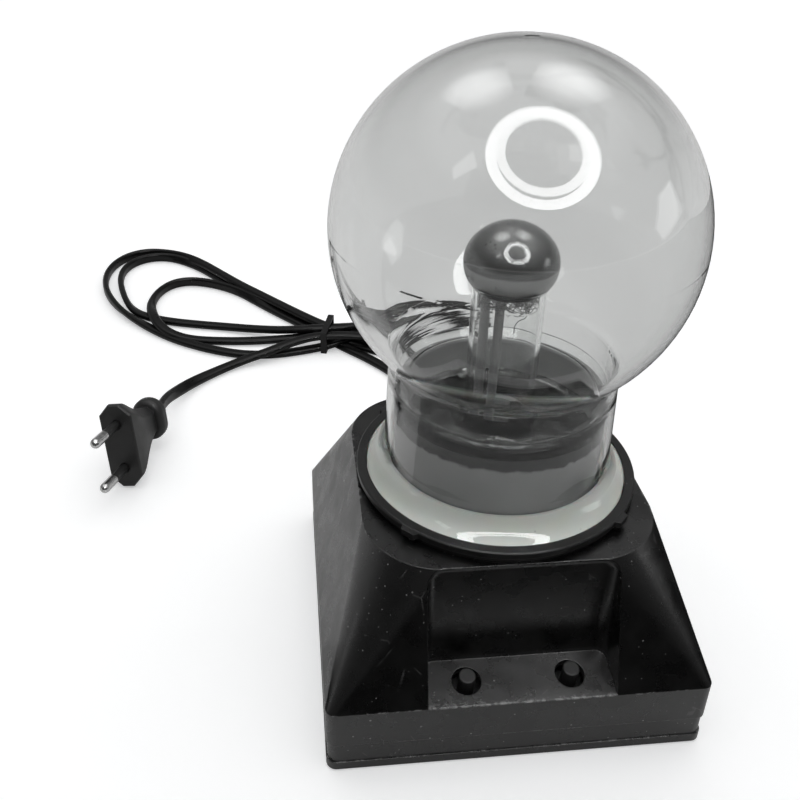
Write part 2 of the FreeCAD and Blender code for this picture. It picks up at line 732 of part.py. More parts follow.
def make_gasket_and_collar():
    bed = "(flare_r + neck_wall + 0.1)"
    top_x = "neck_foot_r + flare_r - sqrt(%s^2 - (neck_foot_z - gasket_top_z)^2)" % bed
    gasket = turned("gasket_body", [
        ("gasket_in_r", "plateau_z + 0.05"), ("gasket_in_r", "gasket_top_z"),
        (top_x, "gasket_top_z", bed, -1),
        (flare_x(bed), flare_y(bed)),
        ("gasket_out_r", flare_y(bed)),
        ("gasket_out_r", "plateau_z + 0.05")])
    keep(gasket, "glass_gasket")

    body = turned("retaining_collar_body", [
        ("collar_in_r", "plateau_z + 0.02"), ("collar_in_r", "collar_top_z"),
        ("collar_out_r - 0.4", "collar_top_z"), ("collar_out_r", "collar_top_z - 0.4"),
        ("collar_out_r", "collar_groove_z"), ("collar_groove_r", "collar_groove_z"),
        ("collar_groove_r", "plateau_z + 0.02")])
    lug_sketch = sketch_in(body, "XY_Plane", "collar_groove_z")
    slope = "(collar_lug_foot - collar_lug_wide)/2"
    outline(lug_sketch, [
        ("collar_out_r - 1.2", "collar_lug_foot/2"), ("collar_lug_r", "collar_lug_foot/2 - " + slope),
        ("collar_lug_r", "-collar_lug_foot/2 + " + slope), ("collar_out_r - 1.2", "-collar_lug_foot/2")])
    lug = padded(body, lug_sketch, "collar_top_z - collar_groove_z - 0.15")
    screw_seat = sketch_in(body, "XY_Plane", "plateau_z")
    ring = screw_seat.addGeometry(Part.Circle(
        FreeCAD.Vector(number("collar_screw_at"), 0, 0), FreeCAD.Vector(0, 0, 1),
        number("collar_screw_r")))
    bore = screw_seat.addConstraint(Sketcher.Constraint("Radius", ring, number("collar_screw_r")))
    screw_seat.setExpression("Constraints[%d]" % bore, formula("collar_screw_r + 0.05"))
    pin_point(screw_seat, ring, 3, "collar_screw_at", "0")
    hole = pocketed(body, screw_seat, "3", upwards=True)
    doc.recompute()
    four = body.newObject("PartDesign::PolarPattern", "four_lugs")
    four.Originals = [lug, hole]
    four.Axis = (lug_sketch, ["N_Axis"])
    four.Angle = 360.0
    four.Occurrences = 4
    body.Tip = four
    turn_about(body, (0, 0, 1), 45.0)
    keep(body, "retaining_collar")


# ---------------------------------------------------------------- electronics

def make_boards():
    holes, screws = [], []
    for sx in (-1, 1):
        for sy in (-1, 1):
            x, y = "%d*board_hole_x" % sx, "board_y + %d*board_hole_dy" % sy
            holes.append(cylinder("1.4", "4", x, y, "board_z - 1"))
            top = "board_z + board_thick"
            screws.append(fuse(cylinder("2.2", "1.5", x, y, top + " + 0.02"),
                               cylinder("1", "6", x, y, top + " - 5")))
    board = box("board_wide", "board_deep", "board_thick", "0", "board_y", "board_z")
    keep(cut(board, *holes), "driver_board")
    keep(group(*screws), "board_screws")


def make_transformers():
    floor = "board_z + board_thick + 0.02"
    x, y = "-17", "19"
    windows = [box("6", "20", "18", "%s + %d*9.1" % (x, side), y, "(%s) + 6" % floor)
               for side in (-1, 1)]
    core = cut(box("36", "14", "30", x, y, floor), *windows)
    keep(core, "mains_transformer_core")
    coil = cut(box("23.6", "26", "17.6", x, y, "(%s) + 6.2" % floor),
               box("12.6", "14.4", "30", x, y, floor))
    keep(fillet(coil, "2.5", lambda e: along((0, 0, 1), e)
                and abs(e.CenterOfMass.y - number(y)) > 12), "mains_transformer_winding")
    x, y = "20", "15"
    core = cut(box("26", "8", "30", x, y, floor), box("14", "12", "18", x, y, "(%s) + 6" % floor))
    keep(core, "hv_transformer_core")
    leg_x = "10"
    coil = cut(cylinder("8.6", "17.4", leg_x, y, "(%s) + 6.3" % floor),
               cylinder("5.2", "30", leg_x, y, floor))
    keep(coil, "hv_transformer_winding")


def make_small_electronics():
    floor = "board_z + board_thick + 0.02"
    x, y = -24.0, -8.0
    fins = [box("1.2", "8", "24", str(x - 9 + 3 * index), str(y + 4.9), floor)
            for index in range(7)]
    keep(fuse(box("20", "2", "24", str(x), str(y), floor), *fins), "heat_sink")
    case = box("10", "4", "9", str(x), str(y - 3.05), "(%s) + 6" % floor)
    tab = box("10", "1.2", "6", str(x), str(y - 1.65), "(%s) + 14.9" % floor)
    legs = [box("0.8", "0.5", "6.5", str(x + 2.5 * index), str(y - 3.05), floor)
            for index in (-1, 0, 1)]
    keep(fuse(case, tab, *legs), "power_transistor")
    sizes = ((5.0, 16.0, -6.0, -8.0), (4.0, 12.0, 5.0, -8.0), (3.0, 9.0, 13.5, -9.0))
    cans = [cylinder(str(r), str(tall), str(cx), str(cy), floor) for r, tall, cx, cy in sizes]
    keep(group(*cans), "capacitors")
    keep(cut(cylinder("4.8", "6", "24", "-9", floor),
             cylinder("3.6", "1", "24", "-9", "(%s) + 5.6" % floor)), "microphone")


# ---------------------------------------------------------------- mains lead, plug

def make_lead_entry():
    inner = "cord_r + 0.05"
    bushing = turned("strain_relief_body", [
        ("cord_r + 0.05", "0"), ("5.6", "0"), ("5.6", "1.6"), ("4.1", "1.6"),
        ("4.1", "1.6 + wall + 0.4"), ("5.4", "1.6 + wall + 0.4"), ("5.4", "3.4 + wall + 0.4"),
        ("4.7", "3.4 + wall + 1.2"), (inner + " + 0.9", "3.4 + wall + relief_long - 4"),
        (inner, "3.4 + wall + relief_long - 4")])
    turn_about(bushing, (1, 0, 0), -90)
    place(bushing, "0", "base_side/2 - wall - 1.8", "entry_z")
    keep(bushing, "strain_relief")


def relief_end():
    return number("base_side/2 - wall - 1.8 + 3.4 + wall + relief_long - 4")


def make_cords():
    radius = number("cord_r")
    exit_y, exit_z = relief_end(), number("entry_z")
    tail = [(0.0, exit_y, exit_z), (0.0, 34.0, exit_z), (5.5, 29.5, exit_z + 1.5)]
    keep(round_tube("cord_tail_wire", tail, radius), "cord_tail")
    to_hank = [(0.0, exit_y, exit_z), (0.0, 89.0, exit_z), (-0.5, 105.0, 11.5),
               (-1.5, 121.0, 5.0), (-6.0, 137.0, 2.8), (-14.0, 152.0, 2.8),
               (-22.0, 165.0, 2.8), (-30.0, 172.0, 3.2)]
    keep(round_tube("mains_cord_base_wire", to_hank, radius), "mains_cord_base")
    to_plug = [(-85.5, 166.5, 2.8), (-98.0, 155.5, 2.8), (-108.6, 142.4, 3.6),
               (-116.4, 128.8, 8.2), (-120.0, 116.5, 10.6)]
    keep(round_tube("mains_cord_plug_wire", to_plug, radius), "mains_cord_plug")
    saddle = box("24", "6", "clamp_tall", "0", "clamp_y", "clamp_z")
    groove = turn_about(cylinder("cord_r + 0.05", "10"), (1, 0, 0), -90)
    place(groove, "0", "clamp_y - 5", "entry_z")
    mouth = box("2*cord_r + 0.1", "10", "entry_z - clamp_z + 1", "0", "clamp_y", "clamp_z - 1")
    screws, holes = [], []
    for side in (-1, 1):
        x = "%d*clamp_screw_x" % side
        screws.append(fuse(cylinder("2", "1.3", x, "clamp_y", "clamp_z + clamp_tall + 0.02"),
                           cylinder("1", "clamp_tall + 5", x, "clamp_y", "clamp_z - 5")))
        holes.append(cylinder("1.2", "20", x, "clamp_y", "clamp_z - 5"))
    keep(cut(saddle, groove, mouth, *holes), "cord_clamp")
    keep(group(*screws), "clamp_screws")


# The bundled loops of the lead, seen from above: left loops, waist under the tie, right loops.
HANK_OUTLINE = [(-43, 178.6), (-62, 173), (-88, 170.5), (-112, 181), (-140, 205), (-165, 238),
                (-174, 268), (-169, 293), (-152, 308), (-132, 304), (-108, 281), (-85, 251),
                (-62, 223), (-43, 197), (-24, 203), (-8, 216), (10, 222), (30, 212),
                (38.5, 193), (30, 176), (12, 167.5), (-10, 168), (-28, 174.5)]
HANK_TALL = 10.0
TIE_AT = (-42.8, 187.6)
TIE_WIDE = 20.6
TIE_TURN = -14.0


def make_hank():
    rim = Part.BSplineCurve()
    rim.interpolate([FreeCAD.Vector(x, y, 0) for x, y in HANK_OUTLINE], PeriodicFlag=True)
    face = Part.Face(Part.Wire(rim.toShape()))
    block = doc.addObject("Part::Feature", "hank_block")
    block.Shape = face.extrude(FreeCAD.Vector(0, 0, HANK_TALL))

    def band(long, grow):
        """Ring round the waist of the bundle, as long as given and grown on every side."""
        ring = cut(box(long, TIE_WIDE + 2 * grow, "%s + %s" % (HANK_TALL + 1.6, 2 * grow),
                       z=-grow),
                   box("%s + 4" % long, TIE_WIDE - 1.6 - 2 * grow,
                       HANK_TALL - 2 * grow, z=0.8 + grow))
        ring.Placement = FreeCAD.Placement(
            FreeCAD.Vector(TIE_AT[0], TIE_AT[1], 0),
            FreeCAD.Rotation(FreeCAD.Vector(0, 0, 1), TIE_TURN))
        return ring

    keep(cut(block, band("3.4", 0.1)), "cord_hank")
    keep(band("3.0", 0.0), "cord_tie")


PLUG_PLACE = FreeCAD.Placement(FreeCAD.Matrix(
    # columns: thickness, pin to pin, from the face backwards, position of the face's centre
    0.957, 0.099, 0.272, -130.3,
    -0.244, -0.225, 0.943, 80.7,
    0.155, -0.969, -0.191, 17.9,
    0, 0, 0, 1))

# Octagonal sections of the plug: distance behind the face, half width, half thickness.
PLUG_SECTIONS = (("0", "plug_wide/2 - 0.5", "plug_thick/2 - 0.5"),
                 ("0.8", "plug_wide/2", "plug_thick/2"),
                 ("4", "plug_wide/2 - 0.8", "plug_thick/2"),
                 ("9", "plug_wide/2 - 4.2", "plug_thick/2 - 0.5"),
                 ("14", "plug_wide/2 - 7.2", "plug_thick/2 - 1.4"),
                 ("20", "plug_wide/2 - 9.6", "plug_thick/2 - 2.4"),
                 ("27", "plug_wide/2 - 11", "plug_thick/2 - 3"))


def octagon(drawing, half_wide, half_thick):
    """Flat-sided plug section: its ends are bevelled at 45 degrees."""
    bevel = "(%s)*0.66" % half_thick
    x, y = half_thick, half_wide
    x_in, y_in = "(%s) - %s" % (x, bevel), "(%s) - %s" % (y, bevel)
    minus = "-(%s)"
    return outline(drawing, [
        (x, y_in), (x_in, y), (minus % x_in, y), (minus % x, y_in),
        (minus % x, minus % y_in), (minus % x_in, minus % y), (x_in, minus % y),
        (x, minus % y_in)])


def make_plug():
    body = doc.addObject("PartDesign::Body", "plug_shell")
    drawings = [octagon(sketch_in(body, "XY_Plane", z), wide, thick)
                for z, wide, thick in PLUG_SECTIONS]
    faced = body.newObject("PartDesign::AdditiveLoft", "plug_face")
    faced.Profile = drawings[0]
    faced.Sections = [(drawings[1], [""])]
    faced.Ruled = True
    loft = body.newObject("PartDesign::AdditiveLoft", "plug_loft")
    loft.Profile = drawings[1]
    loft.Sections = [(drawing, [""]) for drawing in drawings[2:]]
    grip = new("PartDesign::Body", "plug_grip")
    padded(grip, rounded_rectangle(sketch_in(grip, "XY_Plane", "25.5"), "14", "18.4", "6.9"), "7")
    grip = fillet(grip, "2.6", lambda e: abs(e.BoundBox.ZLength) < 1e-6)
    tail = cone("4.6", "cord_r + 0.6", "plug_long - 32", z="32")
    bores = [cylinder("pin_r + 0.05", "12", "0", "%d*pin_spacing/2" % side, "-1")
             for side in (-1, 1)]
    keep(cut(fuse(body, grip, tail), *bores), "plug_body")
    pins, sleeves = [], []
    for side in (-1, 1):
        y = "%d*pin_spacing/2" % side
        pin = turned("pin_body", [
            ("0", "10.8"), ("sleeve_core_r", "10.8"), ("sleeve_core_r", "-sleeve_long"),
            ("pin_r", "-sleeve_long"), ("pin_r", "pin_r - pin_long", "pin_r", 1),
            ("0", "-pin_long")])
        pins.append(place(pin, "0", y))
        sleeves.append(cut(cylinder("sleeve_r", "sleeve_long + 10.5", "0", y,
                                    "0.05 - sleeve_long"),
                           cylinder("sleeve_core_r + 0.02", "40", "0", y, "-20")))
    keep(group(*pins), "plug_pins")
    keep(group(*sleeves), "plug_sleeves")
    for piece in subparts[-3:]:
        piece.Placement = PLUG_PLACE


# ---------------------------------------------------------------- build, check, write

make_upper_housing()
make_base_band()
make_bottom_plate()
make_feet_and_screws()
make_buttons()
make_globe()
make_stem()
make_electrode()
make_cup()
make_gasket_and_collar()
make_boards()
make_transformers()
make_small_electronics()
make_lead_entry()
make_cords()
make_hank()
make_plug()
doc.recompute()

for thing in doc.Objects:
    if "Invalid" in thing.State or "Error" in thing.State:
        raise RuntimeError("%s (%s) did not build" % (thing.Name, thing.Label))
for piece in subparts:
    if piece.Shape.isNull() or not piece.Shape.isValid():
        raise RuntimeError("%s has no valid shape" % piece.Label)
    if piece.Shape.Volume <= 0 or not piece.Shape.Solids:
        raise RuntimeError("%s is not a solid" % piece.Label)

os.makedirs("parts", exist_ok=True)
for piece in subparts:
    piece.Shape.exportStep("parts/%s.step" % piece.Label)
print("%d sub-parts written" % len(subparts))
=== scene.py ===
import math
import random

import bpy
from mathutils import Matrix, Vector


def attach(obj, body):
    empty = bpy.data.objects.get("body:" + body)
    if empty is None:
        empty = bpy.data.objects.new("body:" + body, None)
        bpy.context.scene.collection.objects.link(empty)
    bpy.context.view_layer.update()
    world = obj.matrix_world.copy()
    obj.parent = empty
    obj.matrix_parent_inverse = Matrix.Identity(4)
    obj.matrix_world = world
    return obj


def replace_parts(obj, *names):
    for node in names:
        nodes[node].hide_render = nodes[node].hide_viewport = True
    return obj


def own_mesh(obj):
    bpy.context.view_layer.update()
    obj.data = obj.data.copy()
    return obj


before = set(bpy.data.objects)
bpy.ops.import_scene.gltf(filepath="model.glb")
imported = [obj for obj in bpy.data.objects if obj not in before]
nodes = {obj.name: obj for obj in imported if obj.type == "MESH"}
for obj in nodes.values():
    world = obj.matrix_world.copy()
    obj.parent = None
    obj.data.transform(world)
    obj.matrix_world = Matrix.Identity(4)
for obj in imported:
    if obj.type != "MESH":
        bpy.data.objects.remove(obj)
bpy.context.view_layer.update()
MM = 0.001
scene = bpy.context.scene


def mm(*xyz):
    """A point given in millimetres, as a vector in metres."""
    return Vector(xyz) * MM


# ---------------------------------------------------------------- camera

def make_camera():
    """The viewer's place: in front of the lamp, a little to its left, looking down on it."""
    data = bpy.data.cameras.new("camera")
    data.lens = 40.49
    data.sensor_width = 36.0
    data.shift_x = 0.0303
    data.shift_y = -0.0962
    data.clip_start = 0.01
    data.clip_end = 50.0
    yaw, pitch, roll = (math.radians(a) for a in (5.85, 28.65, 0.71))
    ahead = Vector((math.sin(yaw) * math.cos(pitch), math.cos(yaw) * math.cos(pitch),
                    -math.sin(pitch)))
    right = Vector((math.cos(yaw), -math.sin(yaw), 0.0))
    up = right.cross(ahead)
    tilted_right = right * math.cos(roll) + up * math.sin(roll)
    tilted_up = up * math.cos(roll) - right * math.sin(roll)
    camera = bpy.data.objects.new("camera", data)
    turn = Matrix((tilted_right, tilted_up, -ahead)).transposed()
    camera.matrix_world = Matrix.Translation(mm(-59.3, -218.2, 234.0)) @ turn.to_4x4()
    scene.collection.objects.link(camera)
    scene.camera = camera


# ---------------------------------------------------------------- materials

def add_node(tree, kind, inputs=None, **settings):
    """A new node in the tree, with a value or a link for each of the given inputs."""
    node = tree.nodes.new(kind)
    for key, value in settings.items():
        setattr(node, key, value)
    for key, value in (inputs or {}).items():
        if isinstance(value, bpy.types.NodeSocket):
            tree.links.new(value, node.inputs[key])
        else:
            node.inputs[key].default_value = value
    return node


class Look:
    """A material: its Principled shader, and short calls for the nodes that feed it."""

    def __init__(self, name, **sockets):
        self.material = bpy.data.materials.new(name)
        self.material.use_nodes = True
        self.tree = self.material.node_tree
        self.shader = self.tree.nodes["Principled BSDF"]
        self.place = self.node("ShaderNodeTexCoord").outputs["Object"]
        axes = self.node("ShaderNodeSeparateXYZ", {"Vector": self.place})
        self.x, self.y, self.z = axes.outputs
        for key, value in sockets.items():
            self.feed(key.replace("_", " "), value)

    def node(self, kind, inputs=None, **settings):
        """A new node in the material."""
        return add_node(self.tree, kind, inputs, **settings)

    def feed(self, key, value):
        """Set or link one of the shader's own sockets."""
        if isinstance(value, bpy.types.NodeSocket):
            self.tree.links.new(value, self.shader.inputs[key])
        elif isinstance(value, tuple):
            self.shader.inputs[key].default_value = (*value, 1.0)
        else:
            self.shader.inputs[key].default_value = value

    def math(self, operation, a, b=0.0):
        """Arithmetic on one or two values."""
        return self.node("ShaderNodeMath", {0: a, 1: b}, operation=operation).outputs[0]

    def ramp(self, value, start, end, low=0.0, high=1.0):
        """Straight ramp from low at start to high at end, level outside them."""
        return self.node("ShaderNodeMapRange", {"Value": value, "From Min": start, "From Max": end,
                                                "To Min": low, "To Max": high}).outputs[0]

    def mix(self, amount, a, b):
        """Colour that goes from a to b as the amount goes from 0 to 1."""
        a, b = [(*c, 1.0) if isinstance(c, tuple) else c for c in (a, b)]
        return self.node("ShaderNodeMix", {0: amount, 6: a, 7: b}, data_type="RGBA").outputs[2]

    def noise(self, scale, detail=3.0, rough=0.55, stretch=None):
        """Noise round 0.5; scale is in cells per metre, and stretch multiplies it by axis."""
        place = self.place
        if stretch:
            place = self.node("ShaderNodeVectorMath", {0: place, 1: stretch},
                              operation="MULTIPLY").outputs[0]
        return self.node("ShaderNodeTexNoise", {"Vector": place, "Scale": scale, "Detail": detail,
                                                "Roughness": rough}).outputs["Fac"]

    def specks(self, scale, size, share):
        """Small round specks: in a share of the cells, up to size of a cell across."""
        cells = self.node("ShaderNodeTexVoronoi", {"Vector": self.place, "Scale": scale})
        chance = self.node("ShaderNodeSeparateColor", {"Color": cells.outputs["Color"]}).outputs
        small = self.math("LESS_THAN", cells.outputs["Distance"],
                          self.math("MULTIPLY", chance[1], size))
        return self.math("MULTIPLY", small, self.math("LESS_THAN", chance[0], share))

    def scratches(self, scale, width, bare):
        """Broken hairlines: a crazed net that shows only where a noise is above bare."""
        net = self.node("ShaderNodeTexVoronoi", {"Vector": self.place, "Scale": scale},
                        feature="DISTANCE_TO_EDGE").outputs["Distance"]
        thin = self.math("LESS_THAN", net, width)
        return self.math("MULTIPLY", thin, self.ramp(self.noise(scale * 1.7), bare, bare + 0.05))

    def band(self, value, middle, half):
        """1 where value is within half of middle, fading to 0 at its ends."""
        away = self.math("ABSOLUTE", self.math("SUBTRACT", value, middle))
        return self.ramp(away, half * 0.5, half, 1.0, 0.0)

    def times(self, *values):
        """Product of the values."""
        product = values[0]
        for value in values[1:]:
            product = self.math("MULTIPLY", product, value)
        return product

    def most(self, *values):
        """Largest of the values."""
        largest = values[0]
        for value in values[1:]:
            largest = self.math("MAXIMUM", largest, value)
        return largest

    def relief(self, height, depth, rounded=0.0):
        """Bump of the given depth in metres, over edges rounded to the given radius."""
        inputs = {"Height": height, "Distance": depth, "Strength": 1.0}
        if rounded:
            inputs["Normal"] = self.node("ShaderNodeBevel", {"Radius": rounded},
                                         samples=6).outputs[0]
        self.feed("Normal", self.node("ShaderNodeBump", inputs).outputs[0])


def grey(level):
    """A neutral colour."""
    return (level, level, level)


def moulded(name, dark, light, rough, dust=0.6, rounded=0.0004, shine=0.5):
    """Black moulded plastic with a fine grain; its tone and its dust are still to be mixed."""
    look = Look(name, Specular_IOR_Level=shine)
    drift = look.ramp(look.noise(34.0), 0.50, 0.68)
    look.tone = look.mix(look.noise(55.0), grey(dark), grey(light))
    look.dust = look.math("MULTIPLY", look.most(
        look.math("MULTIPLY", look.specks(900.0, 0.20, 0.16), drift),
        look.specks(420.0, 0.13, 0.16), look.specks(900.0, 0.2, 0.09)), dust)
    look.feed("Roughness", look.ramp(look.noise(120.0, 4.0), 0.3, 0.7, rough - 0.06, rough + 0.07))
    look.relief(look.noise(2600.0, 2.0, 0.7), 0.000015, rounded)
    return look


# In metres: the heights of the housing's edges, where painted highlights lie worn in places, and
# the ledge in its finger recess.
BRIM_Z = 0.0615
SHOULDER_Z = 0.0229
SEAM_Z = 0.0105
FOOT_Z = 0.0035
LEDGE_HALF = 0.02668
LEDGE_LOW = 0.0226
LEDGE_HIGH = 0.0268
LEDGE_BACK = -0.0409
LEDGE_LIP = -0.0546


def make_housing_look():
    """Black plastic with hairline scratches, pale lines on its edges and seams that are painted
    highlights worn in places, and a smudged, rubbed ledge.
    """
    look = moulded("housing", 0.0014, 0.0028, 0.28, shine=0.8)
    rub = look.scratches(75.0, 0.012, 0.60)
    # Pale lines along the brim, shoulder, seam and foot: painted edge highlights, broken up by
    # noise like chipped wear.
    highlight_chips = look.ramp(look.noise(420.0, 4.0, 0.65), 0.52, 0.62)
    outward = look.most(look.math("ABSOLUTE", look.x), look.math("ABSOLUTE", look.y))
    brim = look.times(look.band(look.z, BRIM_Z, 0.0004), look.ramp(outward, 0.0414, 0.0418))
    edges = look.most(look.band(look.z, SHOULDER_Z, 0.00035),
                      look.band(look.z, SEAM_Z, 0.00022), brim,
                      look.band(look.z, FOOT_Z, 0.00022))
    on_ledge = look.times(look.math("LESS_THAN", look.math("ABSOLUTE", look.x), LEDGE_HALF),
                          look.math("GREATER_THAN", look.z, LEDGE_LOW),
                          look.math("LESS_THAN", look.z, LEDGE_HIGH),
                          look.math("LESS_THAN", look.y, LEDGE_BACK))
    lip = look.times(on_ledge, look.math("LESS_THAN", look.y, LEDGE_LIP),
                     look.ramp(look.noise(700.0, 4.0), 0.40, 0.56))
    smudge = look.ramp(look.noise(95.0, 5.0, 0.6, (1.0, 1.8, 1.0)), 0.40, 0.64)
    tone = look.mix(on_ledge, look.tone, look.mix(smudge, grey(0.010), grey(0.026)))
    # Painted edge highlights, partly chipped wear, mixed in as pale grey.
    tone = look.mix(look.times(edges, highlight_chips, 0.45), tone, grey(0.30))
    tone = look.mix(look.math("MULTIPLY", rub, 0.10), tone, grey(0.35))
    tone = look.mix(look.math("MULTIPLY", lip, 0.42), tone, grey(0.45))
    look.feed("Base Color", look.mix(look.dust, tone, grey(0.34)))
    return look.material


def make_small_look(name, dark, light, rough, dust, dust_grey, rounded=0.0004):
    """Black plastic of a small part: its tone with dust on it, and nothing else."""
    look = moulded(name, dark, light, rough, dust, rounded)
    look.feed("Base Color", look.mix(look.dust, look.tone, grey(dust_grey)))
    return look.material


def make_cord_look(name, dark, light, rough):
    """Soft black PVC with a fine grain, scuffs and a little dust."""
    look = Look(name, Specular_IOR_Level=0.30)
    look.feed("Roughness", look.ramp(look.noise(140.0, 4.0), 0.3, 0.7, rough - 0.05, rough + 0.08))
    scuff = look.ramp(look.noise(260.0, 5.0, 0.65), 0.58, 0.75, 0.0, 0.25)
    tone = look.mix(look.noise(70.0), grey(dark), grey(light))
    tone = look.mix(scuff, tone, grey(light * 3))
    look.feed("Base Color", look.mix(look.math("MULTIPLY", look.specks(700.0, 0.2, 0.08), 0.3),
                                     tone, grey(0.2)))
    look.relief(look.noise(1600.0, 3.0), 0.000012)
    return look.material


def make_glass_look():
    """Clear drawn glass with faint waves, and hot-worked ripples where globe meets neck."""
    look = Look("glass", Base_Color=(0.955, 0.962, 0.958), Roughness=0.0, IOR=1.47,
                Transmission_Weight=1.0)
    ripple = look.math("MULTIPLY", look.noise(1.0, 3.0, 0.6, (16.0, 16.0, 520.0)),
                       look.band(look.z, 0.0975, 0.0035))
    wave = look.math("MULTIPLY", look.noise(22.0, 1.0), 0.6)
    look.relief(look.math("ADD", ripple, wave), 0.00007)
    return look.material


def make_coating_look():
    """Grey film baked inside the electrode ball: dark just above the equator, with small pits
    on its left, and black at its foot."""
    look = Look("coating", Coat_Weight=1.0, Coat_IOR=1.8, Coat_Roughness=0.03)
    wander = look.math("ADD", look.z, look.math("MULTIPLY", look.noise(90.0), 0.0014))
    top = look.ramp(wander, 0.1352, 0.1425)
    low = look.ramp(wander, 0.1325, 0.1319)
    crown = look.mix(top, grey(0.004), grey(0.20))
    tone = look.mix(low, crown, grey(0.19))
    tone = look.mix(look.ramp(wander, 0.1278, 0.1272), tone, grey(0.003))
    pits = look.times(look.specks(1100.0, 0.42, 0.35),
                      look.ramp(look.noise(150.0), 0.46, 0.56), look.ramp(look.x, 0.0, -0.006))
    tone = look.mix(look.math("MULTIPLY", pits, 0.8), tone, grey(0.01))
    look.feed("Base Color", tone)
    look.feed("Roughness", look.ramp(look.noise(300.0, 4.0), 0.3, 0.7, 0.30, 0.42))
    return look.material


def make_cup_look():
    """Gloss black cup: grey frit on its lower wall, and a ragged patch of it inside the back."""
    look = Look("cup", Specular_IOR_Level=0.18)
    rag = look.math("MULTIPLY", look.noise(260.0, 5.0, 0.65), 0.004)
    across = look.math("ADD", look.y, look.math("MULTIPLY", look.x, 0.305))
    back = look.ramp(look.math("ADD", across, rag), 0.0052, 0.0056)
    inner = look.times(back, look.ramp(look.math("ADD", look.z, rag), 0.0810, 0.0816))
    radius = look.math("SQRT", look.math("ADD", look.math("MULTIPLY", look.x, look.x),
                                         look.math("MULTIPLY", look.y, look.y)))
    outside = look.math("GREATER_THAN", radius, 0.0303)
    wall = look.times(outside, look.ramp(look.math("ADD", look.z, rag), 0.0868, 0.0860))
    frit = look.mix(look.noise(60.0, 4.0), grey(0.20), grey(0.28))
    strip = look.mix(look.times(outside, look.ramp(look.z, 0.0884, 0.0880)),
                     grey(0.0012), grey(0.045))
    tone = look.mix(look.most(inner, wall), strip, frit)
    look.feed("Base Color", look.mix(look.math("MULTIPLY", look.specks(600.0, 0.2, 0.1), 0.3),
                                     tone, grey(0.3)))
    look.feed("Roughness", look.ramp(look.noise(200.0), 0.3, 0.7, 0.06, 0.12))
    return look.material


def make_silicone_look():
    """Translucent white rubber with dirt specks, and a near-black spot on its front edge."""
    look = Look("silicone", Subsurface_Weight=0.25, Subsurface_Scale=0.002)
    # A near-black spot on the front edge, darkest at its middle.
    away = look.node("ShaderNodeVectorMath", {0: look.place, 1: (0.0006, -0.0386, 0.0658)},
                     operation="DISTANCE").outputs["Value"]
    dark_spot = look.ramp(look.math("ADD", away, look.math("MULTIPLY", look.noise(900.0), 0.0010)),
                     0.0016, 0.0014)
    dirt = look.most(look.math("MULTIPLY", look.specks(520.0, 0.14, 0.12), 0.5),
                     look.math("MULTIPLY", look.scratches(90.0, 0.006, 0.62), 0.35))
    tone = look.mix(look.noise(80.0, 4.0), (0.55, 0.57, 0.53), (0.66, 0.68, 0.64))
    tone = look.mix(dirt, tone, grey(0.16))
    look.feed("Base Color", look.mix(dark_spot, tone, grey(0.008)))
    look.feed("Roughness", look.ramp(look.noise(240.0), 0.3, 0.7, 0.34, 0.46))
    look.relief(look.noise(420.0, 3.0), 0.00004)
    return look.material


def make_plain_look(name, dark, light, scale, rough, metal):
    """Mottled finish of one substance, its colour and relief from one noise."""
    look = Look(name, Metallic=metal)
    mottle = look.noise(scale, 4.0, 0.6)
    look.feed("Base Color", look.mix(mottle, dark, light))
    look.feed("Roughness",
              look.ramp(look.noise(scale * 0.7), 0.3, 0.7, rough - 0.06, rough + 0.08))
    look.relief(mottle, 0.00002)
    return look.material


# Each look's dark and light colour, mottle per metre, roughness and metal share.
PLAIN_LOOKS = {
    "steel_wool": (grey(0.002), grey(0.012), 900.0, 0.6, 0.0),
    "lead_grey": (grey(0.10), grey(0.16), 350.0, 0.45, 0.0),
    "rubber": (grey(0.012), grey(0.026), 600.0, 0.75, 0.0),
    "screw_steel": (grey(0.40), grey(0.58), 500.0, 0.30, 1.0),
    "board": ((0.10, 0.19, 0.06), (0.15, 0.26, 0.09), 300.0, 0.5, 0.0),
    "core_steel": (grey(0.20), grey(0.34), 400.0, 0.45, 0.9),
    "ferrite": (grey(0.03), grey(0.05), 700.0, 0.65, 0.0),
    "winding": ((0.36, 0.13, 0.05), (0.55, 0.23, 0.09), 900.0, 0.35, 0.6),
    "heat_sink": (grey(0.42), grey(0.55), 350.0, 0.38, 1.0),
    "component_black": (grey(0.010), grey(0.022), 500.0, 0.5, 0.0),
    "pin_metal": (grey(0.52), grey(0.70), 450.0, 0.24, 1.0),
}

# Finishes by the names of the record's material slots.
LOOKS = {name: make_plain_look(name, *numbers) for name, numbers in PLAIN_LOOKS.items()}
LOOKS.update(
    housing_plastic=make_housing_look(),
    collar_plastic=make_small_look("collar", 0.003, 0.006, 0.38, 0.35, 0.3),
    button_plastic=make_small_look("button", 0.012, 0.022, 0.42, 0.35, 0.25, rounded=0.0003),
    cup_gloss=make_cup_look(), white_silicone=make_silicone_look(),
    clear_glass=make_glass_look(), coating=make_coating_look(),
    cord_black=make_cord_look("cord", 0.0015, 0.003, 0.30),
    tie_black=make_cord_look("tie", 0.004, 0.008, 0.42),
    plug_black=make_small_look("plug", 0.010, 0.018, 0.45, 0.25, 0.2, rounded=0.0005))


def dress_nodes():
    """Give every CAD node its finish, by the name of the slot that it came with."""
    for name, node in nodes.items():
        for slot in node.material_slots:
            slot.material = LOOKS[slot.material.name.split(".")[0]]
    for name in ("glass_globe", "exhaust_tip"):
        nodes[name].visible_shadow = False


# ---------------------------------------------------------------- return springs


def fold_springs():
    """Give each return spring a mesh of its own."""
    for name in ("power", "sound"):
        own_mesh(nodes[name + "_spring"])


# ---------------------------------------------------------------- mains lead

# The lead's section in millimetres, and the tilt that lays it flat.
LEAD_WIDE = 5.4
LEAD_THICK = 3.2
FLAT = math.pi / 2

